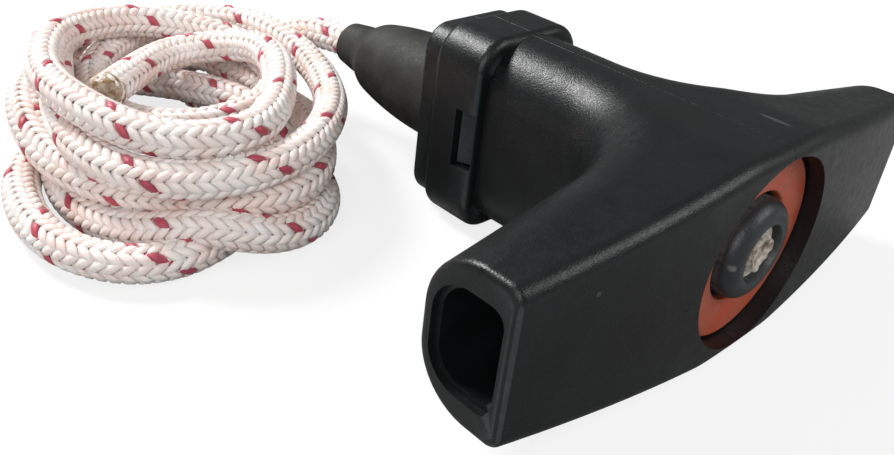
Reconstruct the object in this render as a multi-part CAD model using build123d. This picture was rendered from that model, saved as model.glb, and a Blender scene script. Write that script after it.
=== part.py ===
from build123d import *
import os
from math import cos, pi, radians, sin, tan

# A recoil starter handle: a hollow moulded T grip with a rubber-sprung rope anchor,
# a snap-in neck cap with a rubber nose, and a short length of braided rope in a loose coil.
# Millimetres. The grip lies flat: X runs along the bar, +Y down the neck to the rope, +Z up.

# Bar of the T; the pocket's two corner radii are shares of its depth
BAR_LENGTH = 81.0
BAR_CENTRE_HEIGHT = 27.6
BAR_FLAT_LENGTH = 15.0
BAR_BACK_FLAT = 3.9
BAR_END_FLAT = 2.6
BAR_SWEEP = 3.0
BAR_ROOT_DEPTH = 16.5
BAR_TAPER_RADIUS = 20.0
BAR_WALL = 2.0
POCKET_DEPTH = 24.0
POCKET_DRAFT = 1.2
POCKET_CHEEK = 1.7
POCKET_FRONT_CORNER = 0.2
POCKET_BACK_CORNER = 0.48
LIP_DEPTH = 0.9
LIP_WIDTH = 0.6

# Stem and collar of the T
STEM_WIDTH = 16.0
STEM_TOP_FLAT = 1.0
FLARE_RADIUS = 12.0
FRONT_ROUND = 1.8
END_ROUND = 0.9
COLLAR_PROUD = 0.4
COLLAR_FLARE = 1.8
COLLAR_CORNER = 5.0
COLLAR_START = 38.8
COLLAR_LENGTH = 8.7
COLLAR_ROUND = 1.2
SOCKET_WALL = 2.4

# Disc recess and the rope anchor in it
RECESS_RADIUS = 12.5
RECESS_DEPTH = 3.6
DISC_THICKNESS = 1.2
DISC_PEG_RADIUS = 0.9
DISC_PEG_LENGTH = 2.0
DISC_PEGS = 3
ANCHOR_RADIUS = 6.5
ANCHOR_LENGTH = 6.4
ANCHOR_SET_BACK = 0.3
ANCHOR_ROUND = 1.9
SEAT_RADIUS = 3.9
SEAT_DEPTH = 3.4
BEAD_DIP = 0.9
SLIDE_CLEARANCE = 0.3

# Rubber damper and its washer
WASHER_THICKNESS = 1.0
WASHER_RADIUS = 6.3
DAMPER_HEAD_LENGTH = 8.0
DAMPER_RADIUS = 4.9
DAMPER_GROOVES = 5
DAMPER_GROOVE_DEPTH = 0.8
DAMPER_GROOVE_WIDTH = 2.2

# Neck cap with two latch nubs that snap into the collar's side windows
CAP_INSET = 1.2
CAP_BOSS = 3.4
CAP_ROUND = 0.7
CAP_PLUG_DEPTH = 9.8
CAP_HOLE_RADIUS = 4.7
WINDOW_HEIGHT = 8.4
WINDOW_LENGTH = 3.3
WINDOW_SET_BACK = 0.2
LATCH_NUB = 1.4
LATCH_CLEARANCE = 0.2
FIT_CLEARANCE = 0.1

# Rubber nose
NOSE_FLANGE_RADIUS = 6.3
NOSE_FLANGE = 1.8
NOSE_BASE_RADIUS = 7.3
NOSE_TAPER = 0.1
NOSE_SHOULDER_RADIUS = 5.8
NOSE_SHOULDER_AT = 17.4
NOSE_WAIST_RADIUS = 3.9
NOSE_WAIST_AT = 22.4
NOSE_TIP_RADIUS = 3.4
NOSE_LENGTH = 25.6

# Rope, and the route of its free stretch from the nose's tip
ROPE_DIAMETER = 5.2
ROPE_CLEARANCE = 0.3
LEAD_ROUTE = [(0, 0, 0), (0, 8.5, 0), (-3.2, 18.5, -0.4), (-11, 26.3, -1.8), (-19.5, 30.8, -3.6)]

# The coil, measured from the nose's tip, with its heights above the surface it lies on
COIL_OUTLINE = [
    (-9, -18), (-7.2, -8), (-5, 2.5), (5, 6), (5.6, 15), (3.6, 21), (-1, 29), (-6, 37), (-13, 42),
    (-20, 43), (-29, 42), (-38.5, 37), (-47.5, 29), (-53, 19), (-57.5, 5), (-58.8, -6), (-56.5, -18),
    (-51, -24), (-38, -28.5), (-29, -29.5), (-17, -26),
]
COIL_CORNER = 1.5
COIL_LOWER_TOP = 11.2
COIL_UPPER_INSET = 5.0
COIL_UPPER_TOP = 17.4
COIL_WELL = [(-29, -12), (-19, 4), (-22, 10), (-36, 5), (-38, -7), (-35, -12)]
COIL_WELL_CORNER = 3.0

HALF_LENGTH = BAR_LENGTH / 2
BACK_ROUND = (STEM_WIDTH - STEM_TOP_FLAT) / 2
BAR_END_HEIGHT = 2 * BACK_ROUND + BAR_BACK_FLAT
BAR_END_DEPTH = BACK_ROUND + FRONT_ROUND + BAR_END_FLAT
COLLAR_END = COLLAR_START + COLLAR_LENGTH
NOSE_START = COLLAR_END + CAP_BOSS
OVERALL_DEPTH = NOSE_START + NOSE_LENGTH
COLLAR_WIDTH = STEM_WIDTH + 2 * COLLAR_FLARE
COLLAR_HEIGHT = BAR_CENTRE_HEIGHT + 2 * COLLAR_PROUD
ROPE_RADIUS = ROPE_DIAMETER / 2
ROPE_HOLE_RADIUS = ROPE_RADIUS + ROPE_CLEARANCE
ANCHOR_BORE_RADIUS = ANCHOR_RADIUS + SLIDE_CLEARANCE
ANCHOR_END = ANCHOR_SET_BACK + ANCHOR_LENGTH
WASHER_END = ANCHOR_END + WASHER_THICKNESS
HEAD_END = WASHER_END + DAMPER_HEAD_LENGTH
DAMPER_BORE_RADIUS = DAMPER_RADIUS + SLIDE_CLEARANCE
DISC_OUTER_RADIUS = RECESS_RADIUS - SLIDE_CLEARANCE
DISC_HOLE_RADIUS = ANCHOR_RADIUS + 2 * SLIDE_CLEARANCE
PEG_CIRCLE_RADIUS = (DISC_OUTER_RADIUS + DISC_HOLE_RADIUS) / 2
PLUG_START = COLLAR_END - CAP_PLUG_DEPTH
SOCKET_WIDTH = COLLAR_WIDTH - 2 * SOCKET_WALL
SOCKET_HEIGHT = COLLAR_HEIGHT - 2 * SOCKET_WALL
SOCKET_CORNER = COLLAR_CORNER - SOCKET_WALL
PLUG_HALF_WIDTH = SOCKET_WIDTH / 2 - FIT_CLEARANCE
WINDOW_START = COLLAR_START + WINDOW_SET_BACK
FLANGE_START = PLUG_START + FIT_CLEARANCE
SURFACE = -COLLAR_HEIGHT / 2

# The frame's origin is under the middle of the handle's box, on the surface it lies on
TO_FRAME = Pos(0, -OVERALL_DEPTH / 2, -SURFACE)


def ring_y(radius, start, end):
    """A cylinder along the neck between two depths behind the front face."""
    return Pos(0, (start + end) / 2, 0) * Rot(90, 0, 0) * Cylinder(radius, end - start)


def rounded_block(width, height, corner, start, end):
    """A block along the neck with rounded long edges."""
    section = Plane.XZ.offset(-start) * RectangleRounded(width, height, corner)
    return extrude(section, -(end - start))


def revolve_y(points):
    """A turned piece about the neck's axis, from (radius, depth) corners."""
    return revolve(make_face(Polyline(*points, close=True)), Axis.Y)


def plan_outline():
    """The T seen from above, with its two flared inner corners."""
    half_stem = STEM_WIDTH / 2
    corner = (HALF_LENGTH, BAR_SWEEP)
    back = (HALF_LENGTH, BAR_SWEEP + BAR_END_DEPTH)
    root = (half_stem, BAR_ROOT_DEPTH)
    neck = (half_stem, COLLAR_START + COLLAR_LENGTH / 2)
    mirrored = [(-x, y) for x, y in (neck, root, back, corner)]
    sides = Polyline(corner, back, root, neck, *mirrored)
    front = ThreePointArc(mirrored[-1], (0, 0), corner)
    face = make_face(sides.edges() + [front])
    flares = [v for v in face.vertices() if abs(abs(v.X) - half_stem) < 0.01 and v.Y < neck[1] - 1]
    return fillet(flares, FLARE_RADIUS)


def front_outline():
    """The bar seen from the front: a flat middle that tapers straight to both ends."""
    middle = BAR_FLAT_LENGTH / 2
    centre = BAR_CENTRE_HEIGHT / 2
    end = BAR_END_HEIGHT / 2
    upper = [(-HALF_LENGTH, end), (-middle, centre), (middle, centre), (HALF_LENGTH, end)]
    lower = [(x, -z) for x, z in reversed(upper)]
    face = make_face(Polyline(*upper, *lower, close=True))
    return fillet([v for v in face.vertices() if abs(v.X) < HALF_LENGTH - 1], BAR_TAPER_RADIUS)


def on_end(edge):
    """Whether an edge lies in one of the bar's two end faces."""
    return abs(abs(edge.center().X) - HALF_LENGTH) < 0.01


def runs_along(edge):
    """Whether an edge runs along the T's top or bottom, and isn't an upright corner."""
    size = edge.bounding_box().size
    upright = size.Z > 0.9 * BAR_END_HEIGHT
    across_neck = edge.center().Y > COLLAR_START and size.Y < 0.01
    return not upright and not on_end(edge) and not across_neck


def outer_form():
    """The T as one solid, with round back edges, tighter front ones and eased ends."""
    plan = extrude(Pos(0, 0, -BAR_CENTRE_HEIGHT) * plan_outline(), 2 * BAR_CENTRE_HEIGHT)
    front = extrude(Plane.XZ * front_outline(), -OVERALL_DEPTH)
    body = plan & front
    for radius, at_front in ((BACK_ROUND, False), (FRONT_ROUND, True)):
        long_edges = [e for e in body.edges() if runs_along(e)]
        body = fillet([e for e in long_edges if (e.center().Y < BAR_SWEEP + 0.01) == at_front], radius)
    return fillet([e for e in body.edges() if on_end(e)], END_ROUND)


def pocket_section(side, inset, depth_in):
    """The D-shaped section of an end pocket, at a depth in from the bar's end."""
    depth = BAR_END_DEPTH - 2 * inset
    height = BAR_END_HEIGHT - 2 * (inset + POCKET_CHEEK)
    middle = (side * (HALF_LENGTH - depth_in), BAR_SWEEP + BAR_END_DEPTH / 2, 0)
    face = Rectangle(depth, height)
    front = [v for v in face.vertices() if v.X < 0]
    face = fillet(front, POCKET_FRONT_CORNER * depth)
    back = [v for v in face.vertices() if v.X > depth / 2 - 0.01]
    face = fillet(back, POCKET_BACK_CORNER * depth)
    return Plane(origin=middle, x_dir=(0, 1, 0), z_dir=(side, 0, 0)) * face


def end_pocket(side):
    """The hollow in one end of the bar, with a shallow lip at its mouth."""
    bottom_inset = BAR_WALL + POCKET_DEPTH * tan(radians(POCKET_DRAFT))
    mouth = pocket_section(side, BAR_WALL, 0)
    hollow = loft([mouth, pocket_section(side, bottom_inset, POCKET_DEPTH)])
    return hollow + extrude(pocket_section(side, BAR_WALL - LIP_WIDTH, 0), -LIP_DEPTH)


def peg_places():
    """The middles of the disc's pegs, evenly round the neck's axis."""
    angles = [2 * pi * k / DISC_PEGS + pi / 2 for k in range(DISC_PEGS)]
    return [(PEG_CIRCLE_RADIUS * cos(a), PEG_CIRCLE_RADIUS * sin(a)) for a in angles]


def latch_windows():
    """The two windows in the collar's sides, as one block across the socket."""
    middle = WINDOW_START + WINDOW_LENGTH / 2
    return Pos(0, middle, 0) * Box(2 * COLLAR_WIDTH, WINDOW_LENGTH, WINDOW_HEIGHT)


def latch_nub(side):
    """A ramped nub on one side of the plug, lowest where it enters the socket first."""
    start = WINDOW_START + LATCH_CLEARANCE
    end = WINDOW_START + WINDOW_LENGTH - LATCH_CLEARANCE
    inner = side * PLUG_HALF_WIDTH
    outer = side * (PLUG_HALF_WIDTH + LATCH_NUB)
    root = inner - side * LATCH_CLEARANCE
    ramp = make_face(Polyline((root, start), (inner, start), (outer, end), (root, end), close=True))
    height = WINDOW_HEIGHT - 2 * LATCH_CLEARANCE
    return extrude(Pos(0, 0, -height / 2) * ramp, height)


def grip_body():
    """The moulded T with its hollow ends, disc recess, anchor bore and neck socket."""
    collar = rounded_block(COLLAR_WIDTH, COLLAR_HEIGHT, COLLAR_CORNER, COLLAR_START, COLLAR_END)
    rims = [e for e in collar.edges() if e.bounding_box().size.Y < 0.01]
    body = outer_form() + fillet(rims, COLLAR_ROUND)
    body = body - end_pocket(1) - end_pocket(-1)
    body = body - ring_y(RECESS_RADIUS, -RECESS_DEPTH, RECESS_DEPTH)
    body = body - ring_y(ANCHOR_BORE_RADIUS, 0, HEAD_END + SLIDE_CLEARANCE)
    body = body - ring_y(DAMPER_BORE_RADIUS, HEAD_END, COLLAR_END)
    body = body - rounded_block(SOCKET_WIDTH, SOCKET_HEIGHT, SOCKET_CORNER, PLUG_START, COLLAR_END + CAP_BOSS)
    peg_hole_end = RECESS_DEPTH + DISC_PEG_LENGTH + FIT_CLEARANCE
    peg_hole = ring_y(DISC_PEG_RADIUS + FIT_CLEARANCE, RECESS_DEPTH / 2, peg_hole_end)
    for x, z in peg_places():
        body = body - Pos(x, 0, z) * peg_hole
    return body - latch_windows()


def neck_cap():
    """The snap-in end of the neck: a boss, and a plug in the collar with two latch nubs."""
    boss_width = COLLAR_WIDTH - 2 * CAP_INSET
    boss_height = COLLAR_HEIGHT - 2 * CAP_INSET
    boss = rounded_block(boss_width, boss_height, COLLAR_CORNER - CAP_INSET, COLLAR_END, NOSE_START)
    boss = fillet(boss.edges().group_by(Axis.Y)[-1], CAP_ROUND)
    plug_height = SOCKET_HEIGHT - 2 * FIT_CLEARANCE
    plug_corner = SOCKET_CORNER - FIT_CLEARANCE
    cap = boss + rounded_block(2 * PLUG_HALF_WIDTH, plug_height, plug_corner, FLANGE_START, COLLAR_END)
    cap = cap + latch_nub(1) + latch_nub(-1)
    cap = cap - ring_y(CAP_HOLE_RADIUS, 0, OVERALL_DEPTH)
    return cap - ring_y(NOSE_FLANGE_RADIUS + FIT_CLEARANCE, 0, FLANGE_START + NOSE_FLANGE)


def nose_boot():
    """The rubber nose: a flange held in the cap, a neck, and a tapered bulb with a narrow tip."""
    neck_radius = CAP_HOLE_RADIUS - FIT_CLEARANCE
    base = (NOSE_BASE_RADIUS, NOSE_START)
    belly = (NOSE_BASE_RADIUS - NOSE_TAPER, NOSE_START + NOSE_SHOULDER_AT / 2)
    bulb = Spline(base, belly, (NOSE_SHOULDER_RADIUS, NOSE_START + NOSE_SHOULDER_AT))
    waist = (NOSE_WAIST_RADIUS, NOSE_START + NOSE_WAIST_AT)
    shoulder = Spline(bulb @ 1, waist, tangents=[bulb % 1, (0, 1)])
    rest = Polyline(
        waist,
        (NOSE_TIP_RADIUS, OVERALL_DEPTH),
        (ROPE_HOLE_RADIUS, OVERALL_DEPTH),
        (ROPE_HOLE_RADIUS, FLANGE_START),
        (NOSE_FLANGE_RADIUS, FLANGE_START),
        (NOSE_FLANGE_RADIUS, FLANGE_START + NOSE_FLANGE),
        (neck_radius, FLANGE_START + NOSE_FLANGE),
        (neck_radius, NOSE_START),
        base,
    )
    return revolve(make_face([bulb, shoulder] + rest.edges()), Axis.Y)


def damper_spring():
    """The rubber spring behind the washer: a stout head and a grooved column."""
    pitch = (PLUG_START - HEAD_END) / DAMPER_GROOVES
    groove_radius = DAMPER_RADIUS - DAMPER_GROOVE_DEPTH
    half = DAMPER_GROOVE_WIDTH / 2
    outline = [(ROPE_HOLE_RADIUS, WASHER_END), (WASHER_RADIUS, WASHER_END), (WASHER_RADIUS, HEAD_END)]
    outline.append((DAMPER_RADIUS, HEAD_END))
    for k in range(DAMPER_GROOVES):
        middle = HEAD_END + pitch * (k + 0.5)
        outline += [(DAMPER_RADIUS, middle - half), (groove_radius, middle - half / 2)]
        outline += [(groove_radius, middle + half / 2), (DAMPER_RADIUS, middle + half)]
    return revolve_y(outline + [(DAMPER_RADIUS, FLANGE_START), (ROPE_HOLE_RADIUS, FLANGE_START)])


def thrust_washer():
    """The steel washer between the anchor and the rubber."""
    return ring_y(WASHER_RADIUS, ANCHOR_END, WASHER_END) - ring_y(ROPE_HOLE_RADIUS, 0, HEAD_END)


def rope_anchor():
    """The domed bush that the rope's melted end is drawn into."""
    front = ANCHOR_SET_BACK
    bush = revolve_y([
        (SEAT_RADIUS, front),
        (ANCHOR_RADIUS, front),
        (ANCHOR_RADIUS, ANCHOR_END),
        (ROPE_HOLE_RADIUS, ANCHOR_END),
        (ROPE_HOLE_RADIUS, front + SEAT_DEPTH),
    ])
    rim = bush.edges().filter_by(GeomType.CIRCLE).group_by(Axis.Y)[0].sort_by(SortBy.RADIUS)[-1]
    return fillet(rim, ANCHOR_ROUND)


def badge_disc():
    """The plain disc round the anchor, with pegs that press into the recess floor."""
    face = RECESS_DEPTH - DISC_THICKNESS
    disc = ring_y(DISC_OUTER_RADIUS, face, RECESS_DEPTH) - ring_y(DISC_HOLE_RADIUS, 0, 2 * RECESS_DEPTH)
    disc = fillet([e for e in disc.edges() if e.center().Y < face + 0.01], DISC_THICKNESS / 4)
    peg = ring_y(DISC_PEG_RADIUS, RECESS_DEPTH - DISC_THICKNESS / 2, RECESS_DEPTH + DISC_PEG_LENGTH)
    for x, z in peg_places():
        disc = disc + Pos(x, 0, z) * peg
    return disc


def rope_inner():
    """The rope inside the handle, from its melted bead in the anchor to the nose's tip."""
    front = ANCHOR_SET_BACK + BEAD_DIP
    slope = (SEAT_RADIUS - ROPE_HOLE_RADIUS) / SEAT_DEPTH
    bead_radius = SEAT_RADIUS - slope * BEAD_DIP - FIT_CLEARANCE
    bead_end = front + (bead_radius - ROPE_RADIUS) / slope
    outline = [(0, front + 0.3), (bead_radius / 2, front), (bead_radius, front + 0.2)]
    return revolve_y(outline + [(ROPE_RADIUS, bead_end), (ROPE_RADIUS, OVERALL_DEPTH), (0, OVERALL_DEPTH)])


def bend_radii(route):
    """The arc at each corner of a route: as large as its two runs allow."""
    points = [Vector(*p) for p in route]
    radii = []
    for before, here, after in zip(points, points[1:], points[2:]):
        run_in = here - before
        run_out = after - here
        half_turn = radians(run_in.get_angle(run_out)) / 2
        radii.append(0.45 * min(run_in.length, run_out.length) / tan(half_turn))
    return radii


def rope_lead():
    """The free rope from the nose's tip to where it lies down on the coil."""
    route = [(x, OVERALL_DEPTH + y, z) for x, y, z in LEAD_ROUTE]
    path = FilletPolyline(*route, radius=bend_radii(route))
    section = Plane(origin=path @ 0, z_dir=path % 0) * Circle(ROPE_RADIUS)
    return sweep(section, path=path)


def coil_slab(points, corner, inset, top):
    """A flat-bottomed slab on the surface, drawn in by an inset and rounded on top."""
    face = make_face(Polyline(*[(x, OVERALL_DEPTH + y) for x, y in points], close=True))
    if inset:
        face = offset(face, -inset, kind=Kind.INTERSECTION)
    face = fillet(face.vertices(), corner)
    slab = extrude(Pos(0, 0, SURFACE) * face, top)
    return fillet(slab.edges().group_by(Axis.Z)[-1], ROPE_RADIUS / 2)


def rope_coil():
    """The outer shape of the loose coil, with the well in its middle."""
    lower = coil_slab(COIL_OUTLINE, COIL_CORNER, 0, COIL_LOWER_TOP)
    upper = coil_slab(COIL_OUTLINE[5:], COIL_CORNER, COIL_UPPER_INSET, COIL_UPPER_TOP)
    well = make_face(Polyline(*[(x, OVERALL_DEPTH + y) for x, y in COIL_WELL], close=True))
    well = fillet(well.vertices(), COIL_WELL_CORNER)
    heap = lower + upper - extrude(Pos(0, 0, 2 * SURFACE) * well, -4 * SURFACE)
    return heap - rope_lead()


SUB_PARTS = {
    "grip_body": grip_body,
    "neck_cap": neck_cap,
    "nose_boot": nose_boot,
    "damper_spring": damper_spring,
    "thrust_washer": thrust_washer,
    "rope_anchor": rope_anchor,
    "badge_disc": badge_disc,
    "rope_inner": rope_inner,
    "rope_lead": rope_lead,
    "rope_coil": rope_coil,
}


def main():
    """Build each sub-part and write it to its own STEP file."""
    os.makedirs("parts", exist_ok=True)
    for name, make in SUB_PARTS.items():
        solid = TO_FRAME * make()
        export_step(solid, f"parts/{name}.step")
        print(name, round(solid.volume), len(solid.solids()))
    lead_length = FilletPolyline(*LEAD_ROUTE, radius=bend_radii(LEAD_ROUTE)).length
    print("lead radii", [round(r, 1) for r in bend_radii(LEAD_ROUTE)])
    print("lead length and expected volume", round(lead_length, 1), round(pi * ROPE_RADIUS**2 * lead_length))


if __name__ == "__main__":
    main()
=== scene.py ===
"""A recoil starter handle and its loose coil of braided rope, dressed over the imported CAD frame."""

import logging
import math
from dataclasses import dataclass, field
from enum import Enum
from typing import NamedTuple

import bpy
import numpy as np
from mathutils import Matrix, Vector


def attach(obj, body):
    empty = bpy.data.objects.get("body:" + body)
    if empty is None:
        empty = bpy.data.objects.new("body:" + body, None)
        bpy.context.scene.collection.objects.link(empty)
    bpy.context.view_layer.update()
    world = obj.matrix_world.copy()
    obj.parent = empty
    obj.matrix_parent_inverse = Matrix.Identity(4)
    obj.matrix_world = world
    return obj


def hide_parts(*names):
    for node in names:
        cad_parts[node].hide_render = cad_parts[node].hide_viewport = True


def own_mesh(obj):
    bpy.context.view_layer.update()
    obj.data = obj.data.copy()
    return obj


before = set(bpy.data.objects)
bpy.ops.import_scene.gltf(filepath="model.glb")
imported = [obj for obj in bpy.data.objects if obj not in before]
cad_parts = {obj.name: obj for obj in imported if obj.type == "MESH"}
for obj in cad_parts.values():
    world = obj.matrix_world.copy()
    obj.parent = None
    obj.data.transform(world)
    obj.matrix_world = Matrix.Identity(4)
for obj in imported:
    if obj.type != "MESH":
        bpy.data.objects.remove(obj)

log = logging.getLogger("starter_handle")

MM = 0.001
FLOOR_TO_AXIS = 14.2
NOSE_TIP = (0.0, 38.25, FLOOR_TO_AXIS)
IMAGE_WIDTH = 894
IMAGE_HEIGHT = 455

Point = tuple[float, float, float]
Socket = bpy.types.NodeSocket
Value = Socket | float | tuple[float, ...]


# Helpers


def linear(hex_colour: str) -> tuple[float, float, float, float]:
    """Turn an sRGB hex value into a linear colour.

    Args:
        hex_colour: six hex digits, such as "c8b4aa".

    Returns:
        Red, green, blue and alpha, linear.
    """
    channels = [int(hex_colour[k : k + 2], 16) / 255 for k in (0, 2, 4)]
    plain = [c / 12.92 if c <= 0.04045 else ((c + 0.055) / 1.055) ** 2.4 for c in channels]
    return (*plain, 1.0)


def node(
    material: bpy.types.Material,
    kind: str,
    settings: dict[str, str] | None = None,
    **links: Value,
) -> bpy.types.Node:
    """Add one shader node with its settings and links.

    Args:
        material: the material that gets the node.
        kind: Blender's node type.
        settings: the node's own properties by name.
        **links: inputs by name, with _ for a space, or i0 and i1 for a number. A socket is linked and
            a value is set.

    Returns:
        The new node.
    """
    tree = material.node_tree
    made = tree.nodes.new(kind)
    for name, value in (settings or {}).items():
        setattr(made, name, value)
    for name, value in links.items():
        key = int(name[1:]) if name[0] == "i" and name[1:].isdigit() else name.replace("_", " ")
        socket = made.inputs[key]
        if isinstance(value, Socket):
            tree.links.new(value, socket)
        else:
            socket.default_value = value
    return made


def blank_material(name: str) -> bpy.types.Material:
    """Make a material with an empty node tree.

    Args:
        name: what the material is called.

    Returns:
        The material.
    """
    material = bpy.data.materials.new(name)
    material.use_nodes = True
    material.node_tree.nodes.clear()
    return material


def finish_with(material: bpy.types.Material, shader: bpy.types.Node) -> bpy.types.Material:
    """Send a shader to the material's output."""
    node(material, "ShaderNodeOutputMaterial", Surface=shader.outputs[0])
    return material


def noise(
    material: bpy.types.Material,
    size_mm: float,
    detail: float = 3.0,
    rough: float = 0.55,
) -> Socket:
    """Noise with grains of a real size, in the frame's own metres.

    Args:
        material: the material that gets the node.
        size_mm: about how wide one grain is.
        detail: octaves of finer noise.
        rough: how strong those octaves are.

    Returns:
        The noise's socket, from 0 to 1.
    """
    place = node(material, "ShaderNodeTexCoord")
    grains = node(
        material,
        "ShaderNodeTexNoise",
        Vector=place.outputs["Object"],
        Scale=1 / (size_mm * MM),
        Detail=detail,
        Roughness=rough,
    )
    return grains.outputs[0]


def worked(material: bpy.types.Material, operation: str, *values: Value) -> Socket:
    """Do one sum on one or two values."""
    numbered = {f"i{k}": value for k, value in enumerate(values)}
    return node(material, "ShaderNodeMath", {"operation": operation}, **numbered).outputs[0]


def spread_over(
    material: bpy.types.Material,
    value: Socket,
    low: float,
    high: float,
    to_low: float = 0.0,
    to_high: float = 1.0,
) -> Socket:
    """Map a value from one range to another.

    Args:
        material: the material that gets the node.
        value: the socket that is mapped.
        low: the start of its range.
        high: the end of its range.
        to_low: what the start becomes.
        to_high: what the end becomes.

    Returns:
        The mapped socket.
    """
    mapped = node(material, "ShaderNodeMapRange", i0=value, i1=low, i2=high, i3=to_low, i4=to_high)
    return mapped.outputs[0]


def blended(material: bpy.types.Material, share: Socket, one: Value, other: Value) -> Socket:
    """Mix two colours.

    Args:
        material: the material that gets the node.
        share: how much of the second colour shows, from 0 to 1.
        one: the first colour.
        other: the second colour.

    Returns:
        The mixed colour's socket.
    """
    mix = node(material, "ShaderNodeMix", {"data_type": "RGBA"}, i0=share, i6=one, i7=other)
    return mix.outputs[2]


def raised(
    material: bpy.types.Material,
    height: Socket,
    height_mm: float,
    under: Socket | None = None,
) -> Socket:
    """Turn a height into a bumped normal.

    Args:
        material: the material that gets the node.
        height: the height's socket, from 0 to 1.
        height_mm: how far 1 stands proud.
        under: a normal that this one goes over.

    Returns:
        The normal's socket.
    """
    extra = {} if under is None else {"Normal": under}
    bump = node(material, "ShaderNodeBump", Strength=1.0, Distance=height_mm * MM, Height=height, **extra)
    return bump.outputs[0]


def edge_wear(material: bpy.types.Material, low: float, high: float) -> Socket:
    """Where the surface turns sharply outward, from 0 to 1, as rubbed edges do."""
    shape = node(material, "ShaderNodeNewGeometry")
    return spread_over(material, shape.outputs["Pointiness"], low, high)


# Finishes


class Sheen(Enum):
    """How a moulded surface was left."""

    SATIN = 0.36
    DULL = 0.60
    RUBBERY = 0.72


@dataclass(frozen=True)
class MouldedNylon:
    """Glass-filled nylon from a sparked mould: near black, with a fine satin grain and pale rubs."""

    name: str = "glass_filled_nylon"
    dark: str = "0b0d0e"
    light: str = "131617"
    rubbed: str = "43484a"
    grain_mm: float = 0.24
    grain_height_mm: float = 0.045
    cloud_mm: float = 9.0
    fibre_mm: float = 1.1
    fibre_height_mm: float = 0.02
    scratch_spacing_mm: float = 7.5
    parting_height_mm: float = 0.07
    sheen: Sheen = Sheen.SATIN
    parting_line: bool = True

    def material(self) -> bpy.types.Material:
        """Build the nylon.

        Returns:
            The material.
        """
        made = blank_material(self.name)
        grain = noise(made, self.grain_mm, 2.0)
        cloud = noise(made, self.cloud_mm, 4.0)
        fibre = noise(made, self.fibre_mm, 5.0, 0.7)
        cloudy = spread_over(made, cloud, 0.35, 0.65)
        base = blended(made, cloudy, linear(self.dark), linear(self.light))
        worn = worked(made, "MULTIPLY", edge_wear(made, 0.53, 0.60), fibre)
        pale = worked(made, "MAXIMUM", worn, self.scuffs(made))
        colour = blended(made, pale, base, linear(self.rubbed))
        gloss = spread_over(made, fibre, 0.3, 0.7, self.sheen.value - 0.05, self.sheen.value + 0.09)
        normal = raised(made, grain, self.grain_height_mm)
        normal = raised(made, fibre, self.fibre_height_mm, normal)
        if self.parting_line:
            normal = raised(made, self.ridge(made), self.parting_height_mm, normal)
        shader = node(
            made,
            "ShaderNodeBsdfPrincipled",
            Base_Color=colour,
            Roughness=gloss,
            Normal=normal,
            IOR=1.53,
            Specular_IOR_Level=0.36,
        )
        return finish_with(made, shader)

    def scuffs(self, made: bpy.types.Material) -> Socket:
        """Short pale scratches, scattered and stretched along one way.

        Args:
            made: the material that gets them.

        Returns:
            Their socket, from 0 to 0.75.
        """
        place = node(made, "ShaderNodeTexCoord")
        turned = node(
            made,
            "ShaderNodeMapping",
            Vector=place.outputs["Object"],
            Rotation=(0.4, 0.9, 0.5),
            Scale=(1.0, 0.16, 1.0),
        )
        cells = node(
            made,
            "ShaderNodeTexVoronoi",
            {"feature": "F1"},
            Vector=turned.outputs[0],
            Scale=1 / (self.scratch_spacing_mm * MM),
            Randomness=1.0,
        )
        return spread_over(made, cells.outputs["Distance"], 0.035, 0.05, 0.75, 0.0)

    def ridge(self, made: bpy.types.Material) -> Socket:
        """The mould's parting line, 0.3 mm wide, down the middle of the handle.

        Args:
            made: the material that gets it.

        Returns:
            Its socket, from 0 to 1.
        """
        place = node(made, "ShaderNodeTexCoord")
        split = node(made, "ShaderNodeSeparateXYZ", i0=place.outputs["Object"])
        off = worked(made, "ABSOLUTE", split.outputs[0])
        return spread_over(made, off, 0.10 * MM, 0.22 * MM, 1.0, 0.0)


@dataclass(frozen=True)
class MouldedDisc:
    """ABS with a faded brick-orange pigment, moulded with a soft satin and handled for years."""

    name: str = "pigmented_abs"
    fresh: str = "c04e32"
    faded: str = "b0624a"
    grime: str = "5c2d20"
    cloud_mm: float = 4.0
    speck_mm: float = 0.5
    speck_height_mm: float = 0.02

    def material(self) -> bpy.types.Material:
        """Build the coloured plastic.

        Returns:
            The material.
        """
        made = blank_material(self.name)
        cloud = noise(made, self.cloud_mm, 4.0)
        speck = noise(made, self.speck_mm, 3.0, 0.7)
        cloudy = spread_over(made, cloud, 0.35, 0.65)
        base = blended(made, cloudy, linear(self.fresh), linear(self.faded))
        dirt = spread_over(made, speck, 0.58, 0.72, 0.0, 0.55)
        colour = blended(made, dirt, base, linear(self.grime))
        gloss = spread_over(made, cloud, 0.3, 0.7, 0.40, 0.56)
        shader = node(
            made,
            "ShaderNodeBsdfPrincipled",
            Base_Color=colour,
            Roughness=gloss,
            Normal=raised(made, speck, self.speck_height_mm),
            IOR=1.54,
        )
        return finish_with(made, shader)


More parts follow.
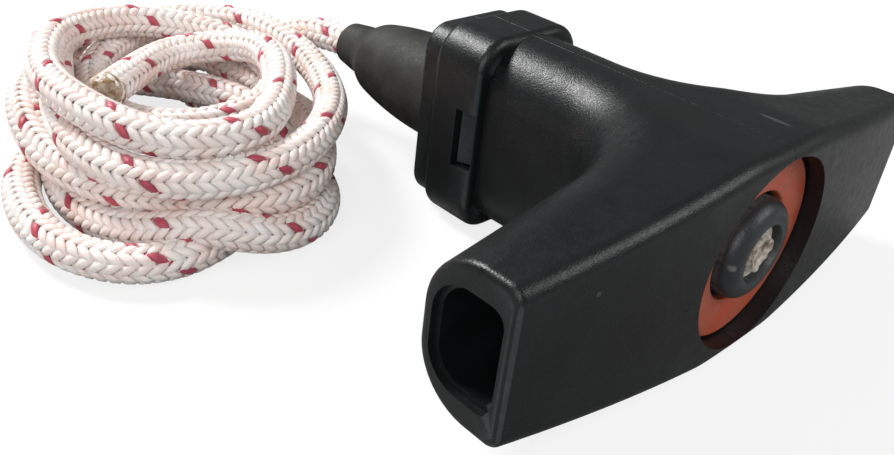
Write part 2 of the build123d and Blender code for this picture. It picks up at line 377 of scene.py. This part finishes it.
@dataclass(frozen=True)
class MouldedRubber:
    """Nitrile rubber, moulded dull, with bloom and dust that turn it grey."""

    name: str
    black: str = "171716"
    bloom: str = "2c2c29"
    grain_mm: float = 0.45
    grain_height_mm: float = 0.03
    cloud_mm: float = 6.0
    cloud_height_mm: float = 0.12

    def material(self) -> bpy.types.Material:
        """Build the rubber.

        Returns:
            The material.
        """
        made = blank_material(self.name)
        cloud = noise(made, self.cloud_mm, 5.0, 0.6)
        grain = noise(made, self.grain_mm, 3.0)
        dusty = spread_over(made, cloud, 0.36, 0.62)
        colour = blended(made, dusty, linear(self.black), linear(self.bloom))
        gloss = spread_over(made, grain, 0.3, 0.7, Sheen.DULL.value, Sheen.RUBBERY.value)
        fine = raised(made, grain, self.grain_height_mm)
        shader = node(
            made,
            "ShaderNodeBsdfPrincipled",
            Base_Color=colour,
            Roughness=gloss,
            Normal=raised(made, cloud, self.cloud_height_mm, fine),
            IOR=1.52,
            Specular_IOR_Level=0.35,
        )
        return finish_with(made, shader)


@dataclass(frozen=True)
class ZincPlatedSteel:
    """Pressed mild steel with a dull zinc plate, whose spangle shows as soft grey patches."""

    name: str = "zinc_plated_steel"
    bright: str = "b9bcbd"
    dull: str = "8d9294"
    spangle_mm: float = 1.2
    grain_mm: float = 0.25
    grain_height_mm: float = 0.008

    def material(self) -> bpy.types.Material:
        """Build the plated steel.

        Returns:
            The material.
        """
        made = blank_material(self.name)
        spangle = noise(made, self.spangle_mm, 4.0)
        grain = noise(made, self.grain_mm, 2.0)
        shader = node(
            made,
            "ShaderNodeBsdfPrincipled",
            Base_Color=blended(made, spangle, linear(self.dull), linear(self.bright)),
            Metallic=1.0,
            Roughness=spread_over(made, spangle, 0.3, 0.7, 0.30, 0.48),
            Normal=raised(made, grain, self.grain_height_mm),
        )
        return finish_with(made, shader)


@dataclass(frozen=True)
class BraidedPolyester:
    """Bright polyester yarn: silky filaments 0.12 mm wide run along each strand and catch the light; the
    gaps between filaments and random patches take the shaded colour, a painted pink shade.
    """

    name: str
    clean: str
    # shaded: a painted pink shade colour, used in the gaps between filaments and in random patches.
    shaded: str
    filament_mm: float = 0.12
    run_mm: float = 1.8
    fluff_mm: float = 0.35
    relief_mm: float = 0.05
    cloud_mm: float = 5.0
    glow_depth_mm: float = 1.2
    sheen_weight: float = 0.20

    def material(self) -> bpy.types.Material:
        """Build the yarn.

        Returns:
            The material.
        """
        made = blank_material(self.name)
        place = node(made, "ShaderNodeTexCoord")
        along = node(
            made,
            "ShaderNodeMapping",
            Vector=place.outputs["UV"],
            Scale=(1 / self.filament_mm, 1 / self.run_mm, 1.0),
        )
        streaks = node(
            made,
            "ShaderNodeTexNoise",
            Vector=along.outputs[0],
            Scale=1.0,
            Detail=2.0,
            Roughness=0.6,
        )
        filaments = streaks.outputs[0]
        fluff = noise(made, self.fluff_mm, 4.0, 0.7)
        cloudy = spread_over(made, noise(made, self.cloud_mm, 4.0), 0.36, 0.66)
        # Random patches of painted pink shade over the clean yarn colour.
        patchy_shade = blended(made, cloudy, linear(self.clean), linear(self.shaded))
        # Painted shade: the gaps between the filaments darken towards the shaded colour.
        gap_shade = spread_over(made, filaments, 0.35, 0.62, 0.25, 0.0)
        ribbed = raised(made, filaments, self.relief_mm)
        shader = node(
            made,
            "ShaderNodeBsdfPrincipled",
            Base_Color=blended(made, gap_shade, patchy_shade, linear(self.shaded)),
            Roughness=spread_over(made, fluff, 0.3, 0.7, 0.34, 0.52),
            Normal=raised(made, fluff, self.relief_mm, ribbed),
            IOR=1.57,
            Sheen_Weight=self.sheen_weight,
            Sheen_Roughness=0.5,
            Subsurface_Weight=0.25,
            Subsurface_Radius=(1.0, 0.62, 0.5),
            Subsurface_Scale=self.glow_depth_mm * MM,
        )
        return finish_with(made, shader)


@dataclass(frozen=True)
class MeltedPolyester:
    """Polyester rope end sealed with a flame: glassy beads, amber where it scorched."""

    name: str
    pale: str = "cdbfae"
    scorched: str = "8a6a45"
    bead_mm: float = 1.3
    bead_height_mm: float = 0.35

    def material(self) -> bpy.types.Material:
        """Build the melted end.

        Returns:
            The material.
        """
        made = blank_material(self.name)
        bead = noise(made, self.bead_mm, 3.0)
        scorch = spread_over(made, bead, 0.4, 0.62)
        shader = node(
            made,
            "ShaderNodeBsdfPrincipled",
            Base_Color=blended(made, scorch, linear(self.pale), linear(self.scorched)),
            Roughness=spread_over(made, bead, 0.3, 0.7, 0.22, 0.42),
            Normal=raised(made, bead, self.bead_height_mm),
            IOR=1.57,
        )
        return finish_with(made, shader)


@dataclass(frozen=True)
class PaperSweep:
    """Pale paper under the object: plain and matt, white to the camera, with the object's shadow kept."""

    name: str = "white_paper"
    white: str = "f4f4f4"
    pale: str = "9c9c9c"
    lift: float = 0.80
    fibre_mm: float = 1.5
    fibre_height_mm: float = 0.01

    def material(self) -> bpy.types.Material:
        """Build the paper.

        Returns:
            The material.
        """
        made = blank_material(self.name)
        fibre = noise(made, self.fibre_mm, 3.0)
        seen = node(made, "ShaderNodeLightPath").outputs["Is Camera Ray"]
        paper = node(
            made,
            "ShaderNodeBsdfDiffuse",
            Color=blended(made, seen, linear(self.pale), linear(self.white)),
            Normal=raised(made, fibre, self.fibre_height_mm),
        )
        glow = node(made, "ShaderNodeEmission", Color=(1, 1, 1, 1), Strength=1.0)
        share = worked(made, "MULTIPLY", seen, self.lift)
        both = node(made, "ShaderNodeMixShader", i0=share, i1=paper.outputs[0], i2=glow.outputs[0])
        return finish_with(made, both)


# Camera


@dataclass(frozen=True)
class ProductCamera:
    """The camera where the photograph was taken, close above the handle's near end."""

    place_mm: Point = (-92.81, -74.16, 68.48)
    right: Point = (0.72573, -0.68045, 0.10155)
    down: Point = (-0.28991, -0.43633, -0.85180)
    forward: Point = (0.62392, 0.58874, -0.51392)
    focal_px: float = 924.8
    centre_px: tuple[float, float] = (441.99, 224.37)
    sensor_width_mm: float = 36
    nearest: float = 0.005
    farthest: float = 20

    def build(self) -> None:
        """Make it the scene's camera."""
        data = bpy.data.cameras.new("product_camera")
        data.sensor_width = self.sensor_width_mm
        data.lens = self.focal_px / IMAGE_WIDTH * data.sensor_width
        data.shift_x = (IMAGE_WIDTH / 2 - self.centre_px[0]) / IMAGE_WIDTH
        data.shift_y = (self.centre_px[1] - IMAGE_HEIGHT / 2) / IMAGE_WIDTH
        data.clip_start = self.nearest
        data.clip_end = self.farthest
        camera = bpy.data.objects.new("product_camera", data)
        bpy.context.scene.collection.objects.link(camera)
        axes = Matrix((self.right, [-v for v in self.down], [-v for v in self.forward])).transposed()
        camera.matrix_world = Matrix.Translation(Vector(self.place_mm) * MM) @ axes.to_4x4()
        bpy.context.scene.camera = camera


# Rope


@dataclass(frozen=True)
class Lap:
    """The coil's shape at one count of turns: an oval, its lean in radians and the rope's height."""

    turn: float
    x: float
    y: float
    across: float
    along: float
    lean: float
    height: float


@dataclass
class LooseCoil:
    """The rope's free length: out of the nose, down under the coil, up in laps and its cut end on top.

    Lengths are in millimetres. While the line settles, stretches that meet are pushed apart, the later one
    upwards. Each round also pulls the line back towards the drawn one, across the camera's view more than
    along it, and opens the bends that are tighter than the tightest.
    """

    diameter: float = 5.2
    spacing: float = 3.4
    points_per_turn: int = 48
    held_points: int = 4
    neighbours: int = 5
    apart: float = 5.15
    rise: float = 0.45
    pull_across: float = 0.05
    pull_along: float = 0.006
    smoothing: float = 0.5
    tightest: float = 12.0
    opening: float = 0.3
    first_smoothings: int = 6
    first_easings: int = 200
    rounds: int = 400
    nose_gap: float = 0.15
    nose_places: tuple[float, ...] = (12.65, 20, 28, 34, 38.2, 38.25)
    nose_radii: tuple[float, ...] = (7.3, 7.2, 5.9, 4.2, 3.5, -9)
    lead: tuple[Point, ...] = (
        NOSE_TIP,
        (0, 43, 14.2),
        (-0.8, 48, 14.0),
        (-4, 53.5, 12.8),
        (-9.5, 59, 10.8),
        (-17, 63.5, 8.2),
        (-27, 66.5, 5.2),
        (-38, 66, 3.0),
    )
    laps: tuple[Lap, ...] = (
        Lap(0.2, -34.9, 36.7, 16.5, 36.2, -0.5, 2.6),
        Lap(0.5, -42.4, 45.5, 20.2, 31.6, 0.1, 2.6),
        Lap(1.0, -32.5, 46.4, 18.3, 29.4, -0.1, 2.6),
        Lap(1.25, -28.7, 40.0, 19.8, 26.1, -0.4, 2.6),
        Lap(1.5, -24.9, 33.3, 28.0, 24.0, -0.6, 2.7),
        Lap(2.0, -42.5, 44.9, 13.4, 24.2, -0.6, 4.2),
        Lap(2.25, -32.6, 46.0, 14.6, 30.0, -0.5, 5.2),
        Lap(2.5, -22.8, 47.1, 19.9, 36.4, -0.3, 5.5),
        Lap(3.0, -33.2, 43.8, 11.9, 32.5, -0.2, 7.5),
        Lap(3.25, -29.4, 45.3, 14.8, 32.6, -0.3, 8.7),
        Lap(3.5, -26.5, 47.2, 24.4, 33.8, -0.3, 9.4),
        Lap(4.0, -24.2, 43.6, 17.5, 27.3, -0.6, 9.6),
        Lap(4.5, -23.0, 49.0, 15.0, 18.0, -0.5, 8.5),
        Lap(5.0, -27.3, 46.4, 14.2, 17.0, -0.2, 12.8),
        Lap(5.5, -29.6, 42.1, 21.2, 28.8, -0.3, 14.4),
        Lap(5.64, -32.0, 42.4, 19.5, 25.6, -0.5, 14.5),
    )
    tail: tuple[Point, ...] = (
        (-16.5, 33.5, 13.8),
        (-13.2, 40.0, 13.2),
        (-12.3, 46.0, 12.0),
        (-13.3, 51.0, 11.2),
        (-17.0, 54.7, 10.6),
        (-22.0, 55.6, 10.7),
        (-27.0, 52.6, 11.4),
        (-31.5, 48.4, 12.4),
        (-36.8, 43.5, 13.6),
        (-42.4, 39.0, 14.4),
    )

    def turns(self) -> np.ndarray:
        """The coil's points: each lap blends into the next by the count of turns.

        Returns:
            The points as drawn.
        """
        counts = np.arange(self.laps[0].turn, self.laps[-1].turn + 0.001, 1 / self.points_per_turn)
        knots = [lap.turn for lap in self.laps]
        x, y, across, along, lean, height = (
            np.interp(counts, knots, [getattr(lap, name) for lap in self.laps])
            for name in ("x", "y", "across", "along", "lean", "height")
        )
        angle = 2 * np.pi * (counts + 0.25)
        east = across * np.cos(angle)
        north = along * np.sin(angle)
        leaned_x = x + east * np.cos(lean) - north * np.sin(lean)
        leaned_y = y + east * np.sin(lean) + north * np.cos(lean)
        return np.stack([leaned_x, leaned_y, height], -1)

    def even(self, points: np.ndarray, step: float) -> np.ndarray:
        """Space points evenly along their own line.

        Args:
            points: the line's points.
            step: about how far apart the new ones are.

        Returns:
            The new points, with the same two ends.
        """
        reach = np.r_[0, np.cumsum(np.linalg.norm(np.diff(points, axis=0), axis=1))]
        at = np.linspace(0, reach[-1], round(reach[-1] / step))
        return np.stack([np.interp(at, reach, points[:, k]) for k in range(3)], -1)

    def route(self) -> np.ndarray:
        """The whole rope's centreline, rounded and then laid so that its stretches rest on each other.

        Returns:
            The line's points.
        """
        drawn = np.r_[np.array(self.lead, float), self.turns(), np.array(self.tail, float)]
        points = self.even(drawn, self.spacing)
        for _ in range(self.first_smoothings):
            points[1:-1] = 0.25 * points[:-2] + 0.5 * points[1:-1] + 0.25 * points[2:]
        for _ in range(self.first_easings):
            self.ease(points)
        return self.settle(self.even(points, self.spacing))

    def ease(self, points: np.ndarray) -> None:
        """Open the bends that are tighter than the rope takes.

        Args:
            points: the line's points, which move a little.
        """
        most = 2 * self.spacing**2 / self.tightest
        bend = np.zeros_like(points)
        bend[2:-2] = (points[:-4] + points[4:]) / 2 - points[2:-2]
        bend[: self.held_points] = 0
        size = np.maximum(np.linalg.norm(bend, axis=1), 1e-9)
        points += self.opening * bend * np.maximum(0, 1 - most / size)[:, None]

    def settle(self, wanted: np.ndarray) -> np.ndarray:
        """Push stretches that lie in each other, the nose or the floor apart, and keep the curve smooth.

        Args:
            wanted: the line before it is settled.

        Returns:
            The settled line.
        """
        points = wanted.copy()
        free = slice(self.held_points, None)
        early, late = np.triu_indices(len(points), self.neighbours)
        sight = np.array(ProductCamera.forward)
        bend = np.zeros_like(points)
        bend[1:-1] = (wanted[:-2] + wanted[2:]) / 2 - wanted[1:-1]
        for _ in range(self.rounds):
            gap = points[early] - points[late]
            distance = np.linalg.norm(gap, axis=1)
            close = distance < self.apart
            short = (self.apart - distance[close])[:, None]
            nudge = gap[close] / np.maximum(distance[close], 0.2)[:, None] * short * 0.5
            nudge[:, 2] -= self.rise * short[:, 0]
            push = np.zeros_like(points)
            count = np.zeros(len(points))
            np.add.at(push, early[close], nudge)
            np.add.at(push, late[close], -nudge)
            np.add.at(count, early[close], 1)
            np.add.at(count, late[close], 1)
            points[free] += (push / np.maximum(count, 1)[:, None])[free]
            back = wanted - points
            along = (back @ sight)[:, None] * sight
            points[free] += (self.pull_across * (back - along) + self.pull_along * along)[free]
            self.clear_nose(points)
            now = np.zeros_like(points)
            now[1:-1] = (points[:-2] + points[2:]) / 2 - points[1:-1]
            points[free] += self.smoothing * (now - bend)[free]
            self.ease(points)
            points[free, 2] = np.maximum(points[free, 2], self.diameter / 2)
        return points

    def clear_nose(self, points: np.ndarray) -> None:
        """Push points that lie in the rubber nose out from its axis.

        Args:
            points: the line's points, of which those in the nose move.
        """
        radius = np.interp(points[:, 1], self.nose_places, self.nose_radii)
        offset = points[:, [0, 2]] - (0, FLOOR_TO_AXIS)
        distance = np.maximum(np.linalg.norm(offset, axis=1), 0.1)
        reach = radius + self.diameter / 2 + self.nose_gap
        inside = distance < reach
        inside[: self.held_points] = False
        out = offset / distance[:, None] * (reach - distance)[:, None]
        points[inside, 0] += out[inside, 0]
        points[inside, 2] += out[inside, 1]


class Frames(NamedTuple):
    """Even points along the rope, how far along it each lies, and two axes across the rope there."""

    at: np.ndarray
    points: np.ndarray
    first: np.ndarray
    second: np.ndarray


@dataclass
class BraidedRope:
    """A twenty-strand cover, ten strands each way and each over two and under two, on a soft core.

    Lengths are in millimetres, and the lead is how far along a strand winds once round.
    """

    coil: LooseCoil = field(default_factory=LooseCoil)
    # The core's dark pinkish-beige colour is painted shade: it shows between the strands, where shade
    # falls.
    core_shade_yarn: BraidedPolyester = BraidedPolyester("rope_core", "c9aaa0", "b99489", sheen_weight=0.0)
    # The second colour of each yarn is its painted pink shade.
    white_yarn: BraidedPolyester = BraidedPolyester("polyester_yarn", "f9f2ee", "efd6cd")
    tracer_yarn: BraidedPolyester = BraidedPolyester("crimson_yarn", "c04a5c", "a23044")
    sealed_end: MeltedPolyester = MeltedPolyester("flame_sealed_end")
    strands_each_way: int = 10
    lead_length: float = 15.5
    middle_radius: float = 2.02
    weave_depth: float = 0.22
    strand_width: float = 0.60
    strand_thickness: float = 0.34
    rings_per_turn: int = 40
    sides: int = 6
    core_radius: float = 1.95
    crossing_steepness: float = 1.6
    tracer: int = 3
    melted_radii: tuple[float, float] = (2.55, 2.5)
    melted_length: float = 2.2
    melted_set_back: float = 0.6

    def build(self) -> None:
        core = self.core_line(self.coil.route())
        line = self.read_line(core)
        core.data.materials.append(self.core_shade_yarn.material())
        white = self.white_yarn.material()
        crimson = self.tracer_yarn.material()
        frames = self.frames(line)
        pieces = []
        for way in (1, -1):
            for half in range(2):
                every_other = range(half, self.strands_each_way, 2)
                numbers = [k for k in every_other if (way, k) != (1, self.tracer)]
                name = f"rope_strands_{'right' if way > 0 else 'left'}_{half + 1}"
                pieces.append(self.strands(name, frames, way, numbers, white))
        pieces.append(self.strands("rope_tracer", frames, 1, [self.tracer], crimson))
        pieces.append(self.melted_end(frames))
        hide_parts("rope_lead", "rope_coil")
        for piece in [core, *pieces]:
            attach(piece, "rope_side")

    def core_line(self, route: np.ndarray) -> bpy.types.Object:
        """The rope's core: one smooth spline along the route.

        Args:
            route: the centreline's points in millimetres.

        Returns:
            The core, in metres.
        """
        curve = bpy.data.curves.new("rope_core", "CURVE")
        curve.dimensions = "3D"
        curve.bevel_depth = self.core_radius * MM
        curve.bevel_resolution = 3
        curve.resolution_u = 4
        curve.use_fill_caps = True
        spline = curve.splines.new("NURBS")
        spline.points.add(len(route) - 1)
        for point, place in zip(spline.points, route * MM):
            point.co = (*place, 1)
        spline.order_u = 3
        spline.use_endpoint_u = True
        core = bpy.data.objects.new("rope_core", curve)
        bpy.context.scene.collection.objects.link(core)
        return core

    def read_line(self, core: bpy.types.Object) -> np.ndarray:
        """The points that the spline really passes through.

        Args:
            core: the rope's core.

        Returns:
            The points, in metres.
        """
        bare = core.data.copy()
        bare.bevel_depth = 0
        holder = bpy.data.objects.new("rope_reader", bare)
        bpy.context.scene.collection.objects.link(holder)
        bpy.context.view_layer.update()
        settled = holder.evaluated_get(bpy.context.evaluated_depsgraph_get())
        read = bpy.data.meshes.new_from_object(settled)
        points = np.array([v.co for v in read.vertices])
        bpy.data.objects.remove(holder)
        bpy.data.meshes.remove(read)
        bpy.data.curves.remove(bare)
        return points

    def frames(self, line: np.ndarray) -> Frames:
        """Even points along the line, each with two axes across it that never twist.

        Args:
            line: the centreline in metres.

        Returns:
            The points with their axes.
        """
        reach = np.r_[0, np.cumsum(np.linalg.norm(np.diff(line, axis=0), axis=1))]
        count = round(reach[-1] / (self.lead_length * MM) * self.rings_per_turn) + 1
        at = np.linspace(0, reach[-1], count)
        points = np.stack([np.interp(at, reach, line[:, k]) for k in range(3)], -1)
        heading = np.gradient(points, axis=0)
        heading /= np.linalg.norm(heading, axis=1)[:, None]
        side = np.cross(heading[0], (0, 0, 1))
        side /= np.linalg.norm(side)
        sides = [side]
        for k in range(1, count):
            side = sides[-1] - (sides[-1] @ heading[k]) * heading[k]
            sides.append(side / np.linalg.norm(side))
        across = np.array(sides)
        return Frames(at, points, across, np.cross(heading, across))

    def strands(
        self,
        name: str,
        frames: Frames,
        way: int,
        numbers: list[int],
        material: bpy.types.Material,
    ) -> bpy.types.Object:
        """Some of the cover's strands that wind one way, as one piece.

        Args:
            name: the piece's name.
            frames: what frames() gives.
            way: 1 for a right-hand helix, -1 for a left-hand one.
            numbers: which strands of that way.
            material: the yarn.

        Returns:
            The piece.
        """
        at, points, first, second = frames
        vertices, faces, yarn = [], [], []
        around = 2 * np.pi * np.arange(self.sides) / self.sides
        for number in numbers:
            begun = 2 * np.pi * number / self.strands_each_way
            angle = way * 2 * np.pi * at / (self.lead_length * MM) + begun
            wave = np.tanh(self.crossing_steepness * np.cos(self.strands_each_way / 2 * angle))
            over = way * wave / np.tanh(self.crossing_steepness)
            radius = (self.middle_radius + self.weave_depth * over) * MM
            outward = np.cos(angle)[:, None] * first + np.sin(angle)[:, None] * second
            path = points + radius[:, None] * outward
            heading = np.gradient(path, axis=0)
            heading /= np.linalg.norm(heading, axis=1)[:, None]
            flat = np.cross(heading, outward)
            flat /= np.linalg.norm(flat, axis=1)[:, None]
            proud = np.cross(flat, heading)
            width = self.strand_width * (0.84 + 0.16 * over) * MM
            for turn in around:
                sideways = (width * math.cos(turn))[:, None] * flat
                up = self.strand_thickness * MM * math.sin(turn) * proud
                vertices.append(path + sideways + up)
                yarn.append(np.stack([width * math.cos(turn) / MM + 3 * number, at / MM], -1))
            faces += self.tube_faces((len(vertices) - self.sides) * len(at), len(at))
        mesh = bpy.data.meshes.new(name)
        mesh.from_pydata(np.concatenate(vertices).tolist(), [], faces)
        mesh.polygons.foreach_set("use_smooth", [True] * len(mesh.polygons))
        corners = np.empty(len(mesh.loops), dtype=np.int32)
        mesh.loops.foreach_get("vertex_index", corners)
        mesh.uv_layers.new(name="yarn").data.foreach_set("uv", np.concatenate(yarn)[corners].ravel())
        mesh.materials.append(material)
        piece = bpy.data.objects.new(name, mesh)
        bpy.context.scene.collection.objects.link(piece)
        log.info("%s: %d faces", name, len(mesh.polygons))
        return piece

    def tube_faces(self, start: int, rings: int) -> list[tuple[int, ...]]:
        """The faces of one strand, whose vertices run side by side along it, with both ends closed.

        Args:
            start: the number of its first vertex.
            rings: how many vertices each of its sides has.

        Returns:
            The faces by their vertices' numbers.
        """
        faces = []
        for side in range(self.sides):
            here = start + side * rings
            there = start + (side + 1) % self.sides * rings
            faces += [(here + k, there + k, there + k + 1, here + k + 1) for k in range(rings - 1)]
        faces.append(tuple(start + side * rings for side in reversed(range(self.sides))))
        faces.append(tuple(start + side * rings + rings - 1 for side in range(self.sides)))
        return faces

    def melted_end(self, frames: Frames) -> bpy.types.Object:
        """The cut end, melted into a rounded lumpy cap.

        Args:
            frames: what frames() gives.

        Returns:
            The cap.
        """
        _, points, first, second = frames
        tip = Vector(points[-1])
        heading = np.cross(first[-1], second[-1])
        bpy.ops.mesh.primitive_uv_sphere_add(segments=32, ring_count=20, radius=1)
        cap = bpy.context.object
        cap.name = cap.data.name = "rope_melted_end"
        axes = Matrix((first[-1], second[-1], heading)).transposed().to_4x4()
        squash = Matrix.Diagonal((*(r * MM for r in self.melted_radii), self.melted_length * MM, 1))
        middle = tip - Vector(heading) * self.melted_set_back * MM
        cap.data.transform(Matrix.Translation(middle) @ axes @ squash)
        for k, vertex in enumerate(cap.data.vertices):
            vertex.co += (vertex.co - tip) * 0.06 * math.sin(k * 1.7)
        cap.data.polygons.foreach_set("use_smooth", [True] * len(cap.data.polygons))
        cap.data.materials.append(self.sealed_end.material())
        log.info("rope_melted_end: %d faces", len(cap.data.polygons))
        return cap


# Handle


@dataclass
class HandleBody:
    """The moulded parts of the handle, which keep their CAD form and take their finishes here."""

    grip: MouldedNylon = MouldedNylon()
    anchor: MouldedNylon = MouldedNylon(
        name="anchor_nylon",
        dark="26282a",
        light="303335",
        rubbed="8e8f8c",
        parting_line=False,
    )
    disc: MouldedDisc = MouldedDisc()
    nose: MouldedRubber = MouldedRubber("nitrile_nose")
    damper: MouldedRubber = MouldedRubber("nitrile_damper", black="141413", bloom="232321")
    washer: ZincPlatedSteel = ZincPlatedSteel()
    bead: MeltedPolyester = MeltedPolyester("rope_bead", pale="c9c2b6", scorched="6d5f50")
    inner_rope: BraidedPolyester = BraidedPolyester("inner_rope", "ece2dc", "dccac1")
    knot_place: Point = (0.0, -37.35, FLOOR_TO_AXIS)
    knot_radius: float = 2.75
    knot_rings: int = 14
    knot_sides: int = 48
    rim_at: float = 0.72
    rim_width: float = 0.2
    anchor_travel: float = 5.0

    def dress(self) -> None:
        """Give each CAD node its finish."""
        grip = self.grip.material()
        finishes = {
            "grip_body": grip,
            "neck_cap": grip,
            "rope_anchor": self.anchor.material(),
            "badge_disc": self.disc.material(),
            "nose_boot": self.nose.material(),
            "damper_spring": self.damper.material(),
            "thrust_washer": self.washer.material(),
            "rope_inner": self.inner_rope.material(),
        }
        for name, material in finishes.items():
            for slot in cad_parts[name].material_slots:
                slot.material = material
            log.info("%s: %s", name, material.name)
        self.melted_knot(self.bead.material())
        self.sprung_damper(finishes["damper_spring"])

    def sprung_damper(self, material: bpy.types.Material) -> None:
        """The rubber spring as a piece of its own.

        Args:
            material: the rubber.
        """
        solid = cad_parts["damper_spring"]
        spring = bpy.data.objects.new("damper_rubber", solid.data.copy())
        bpy.context.scene.collection.objects.link(spring)
        spring.matrix_world = solid.matrix_world
        spring.data.materials.clear()
        spring.data.materials.append(material)
        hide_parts("damper_spring")
        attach(spring, "handle")
        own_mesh(spring)

    def melted_knot(self, material: bpy.types.Material) -> None:
        """The rope's inner end where the flame left it: a lumpy rim round a sunken middle.

        Args:
            material: the melted polyester.
        """
        x, y, z = self.knot_place
        vertices, faces = [], []
        for ring in range(self.knot_rings):
            share = ring / (self.knot_rings - 1)
            for side in range(self.knot_sides):
                turn = 2 * math.pi * side / self.knot_sides
                reach, height = self.knot_surface(share, turn)
                place = (x + reach * math.cos(turn), y - height, z + reach * math.sin(turn))
                vertices.append(tuple(v * MM for v in place))
        for ring in range(self.knot_rings - 1):
            for side in range(self.knot_sides):
                here = ring * self.knot_sides + side
                there = ring * self.knot_sides + (side + 1) % self.knot_sides
                faces.append((here, there, there + self.knot_sides, here + self.knot_sides))
        mesh = bpy.data.meshes.new("rope_melted_knot")
        mesh.from_pydata(vertices, [], faces)
        mesh.polygons.foreach_set("use_smooth", [True] * len(mesh.polygons))
        mesh.materials.append(material)
        knot = bpy.data.objects.new("rope_melted_knot", mesh)
        bpy.context.scene.collection.objects.link(knot)
        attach(knot, "rope_side")
        log.info("rope_melted_knot: %d faces", len(mesh.polygons))

    def knot_surface(self, share: float, turn: float) -> tuple[float, float]:
        """How far out and how far forward the melted end's surface lies at one point.

        Args:
            share: the point's place between the middle, 0, and the outer edge, 1.
            turn: the angle round the rope, in radians.

        Returns:
            The distance from the rope's axis and the height, in millimetres.
        """
        lump = 0.12 * math.sin(3 * turn + 1) + 0.07 * math.sin(7 * turn) + 0.05 * math.sin(12 * turn + 2)
        rim = math.exp(-(((share - self.rim_at) / self.rim_width) ** 2)) * (0.45 + 0.8 * lump)
        fall = 0.9 * max(0.0, share - 0.85) / 0.15
        return self.knot_radius * share * (1 + 0.5 * lump), rim - fall


# Stage


@dataclass(frozen=True)
class Softbox:
    """A square soft lamp that points at the handle, with its place and width in metres."""

    name: str
    place: Point
    width: float
    watts: float

    def build(self) -> None:
        """Hang the lamp."""
        data = bpy.data.lights.new(self.name, "AREA")
        data.size = self.width
        data.energy = self.watts
        lamp = bpy.data.objects.new(self.name, data)
        bpy.context.scene.collection.objects.link(lamp)
        lamp.location = self.place
        aim = Vector((0, 0, 0.01)) - Vector(self.place)
        lamp.rotation_euler = aim.to_track_quat("-Z", "Y").to_euler()


@dataclass
class Studio:
    """A pale sweep, a soft light behind and above, two softer fills in front and a dim even surround."""

    paper: PaperSweep = PaperSweep()
    lamps: tuple[Softbox, ...] = (
        Softbox("overhead", (-0.17, 0.58, 0.62), 0.22, 8.5),
        Softbox("front_fill", (0.45, -0.60, 0.55), 0.45, 3.0),
        Softbox("left_fill", (-0.75, -0.42, 0.50), 0.60, 4.8),
    )
    surround: float = 0.19
    size: float = 6.0
    floor_drop: float = 0.0002

    def build(self) -> None:
        """Lay the floor and set the lights."""
        bpy.ops.mesh.primitive_plane_add(size=self.size, location=(0, 0, -self.floor_drop))
        floor = bpy.context.object
        floor.name = "floor"
        floor.data.materials.append(self.paper.material())
        for lamp in self.lamps:
            lamp.build()
        self.world()

    def world(self) -> None:
        """An even surround for light, and plain white behind everything."""
        scene = bpy.context.scene
        scene.world = scene.world or bpy.data.worlds.new("surround")
        scene.world.use_nodes = True
        tree = scene.world.node_tree
        tree.nodes.clear()
        out = tree.nodes.new("ShaderNodeOutputWorld")
        mix = tree.nodes.new("ShaderNodeMixShader")
        path = tree.nodes.new("ShaderNodeLightPath")
        for slot, strength in ((1, self.surround), (2, 1.0)):
            light = tree.nodes.new("ShaderNodeBackground")
            light.inputs["Color"].default_value = (1, 1, 1, 1)
            light.inputs["Strength"].default_value = strength
            tree.links.new(light.outputs[0], mix.inputs[slot])
        tree.links.new(path.outputs["Is Camera Ray"], mix.inputs[0])
        tree.links.new(mix.outputs[0], out.inputs[0])


def main() -> None:
    """Build the scene in order."""
    logging.basicConfig(level=logging.INFO, format="%(name)s %(message)s")
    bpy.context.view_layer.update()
    ProductCamera().build()
    BraidedRope().build()
    HandleBody().dress()
    Studio().build()
    bpy.context.scene.view_settings.view_transform = "Standard"
    bpy.context.view_layer.update()


if __name__ == "__main__":
    main()
